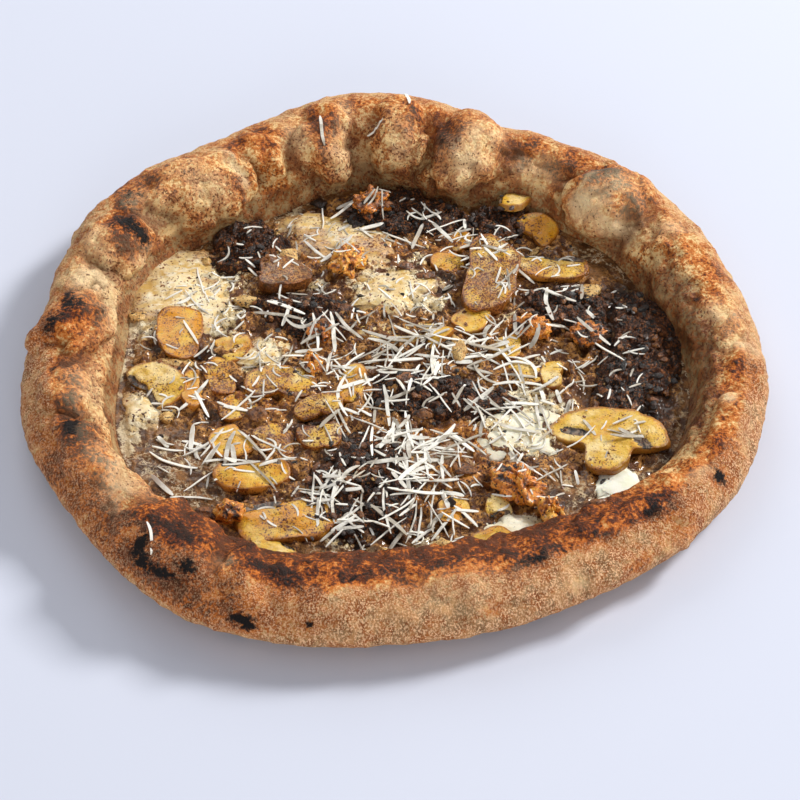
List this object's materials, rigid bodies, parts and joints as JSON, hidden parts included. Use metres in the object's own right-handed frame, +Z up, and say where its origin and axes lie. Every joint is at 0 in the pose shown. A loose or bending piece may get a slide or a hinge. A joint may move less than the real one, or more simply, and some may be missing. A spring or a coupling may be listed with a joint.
{
  "type": "mushroom pizza",
  "caption": "Round wood-fired pizza with a puffed, blistered rim round a cream base with mushroom slices, melted cheese, sausage crumbles and fine cheese shreds.",
  "frame": {"origin": "middle of the pizza's flat underside, under the centre of its bounding box", "axes": "+Z up, the shortest way through the pizza; +X to the eater's right; +Y away from the eater"},
  "size_m": [0.3283, 0.3377, 0.0433],
  "materials": {
    "crust": "dry, floury, browned and charred in spots",
    "cream": "wet",
    "mozzarella": "soft, melted",
    "dark_mushroom": "moist, crumbly",
    "mushroom": "moist",
    "sausage": "browned, oily"
  },
  "bodies": {
    "root": {"crust": "crust", "cream": "cream", "mozzarella_left": "mozzarella", "mozzarella_middle": "mozzarella", "mozzarella_right": "mozzarella", "mozzarella_white": "mozzarella", "mozzarella_front": "mozzarella", "mozzarella_centre_left": "mozzarella", "mozzarella_left_front": "mozzarella", "mozzarella_back": "mozzarella", "mozzarella_front_middle": "mozzarella", "dark_heap_left_back": "dark_mushroom", "dark_heap_left": "dark_mushroom", "dark_heap_back": "dark_mushroom", "dark_heap_back_right": "dark_mushroom", "dark_heap_middle": "dark_mushroom", "dark_heap_right_back": "dark_mushroom", "dark_heap_right": "dark_mushroom", "dark_heap_front": "dark_mushroom", "mushroom_1": "mushroom", "mushroom_2": "mushroom", "mushroom_3": "mushroom", "mushroom_4": "mushroom", "mushroom_5": "mushroom", "mushroom_6": "mushroom", "mushroom_7": "mushroom", "mushroom_8": "mushroom", "mushroom_9": "mushroom", "mushroom_10": "mushroom", "mushroom_11": "mushroom", "mushroom_12": "mushroom", "mushroom_13": "mushroom", "mushroom_14": "mushroom", "mushroom_15": "mushroom", "mushroom_16": "mushroom", "mushroom_17": "mushroom", "mushroom_18": "mushroom", "mushroom_19": "mushroom", "mushroom_20": "mushroom", "mushroom_21": "mushroom", "mushroom_22": "mushroom", "mushroom_23": "mushroom", "mushroom_24": "mushroom", "mushroom_25": "mushroom", "mushroom_26": "mushroom", "mushroom_27": "mushroom", "mushroom_28": "mushroom", "mushroom_29": "mushroom", "mushroom_30": "mushroom", "mushroom_31": "mushroom", "mushroom_32": "mushroom", "sausage_1": "sausage", "sausage_2": "sausage", "sausage_3": "sausage", "sausage_4": "sausage", "sausage_5": "sausage", "sausage_6": "sausage", "sausage_7": "sausage", "sausage_8": "sausage", "sausage_9": "sausage"}
  },
  "joints": []
}
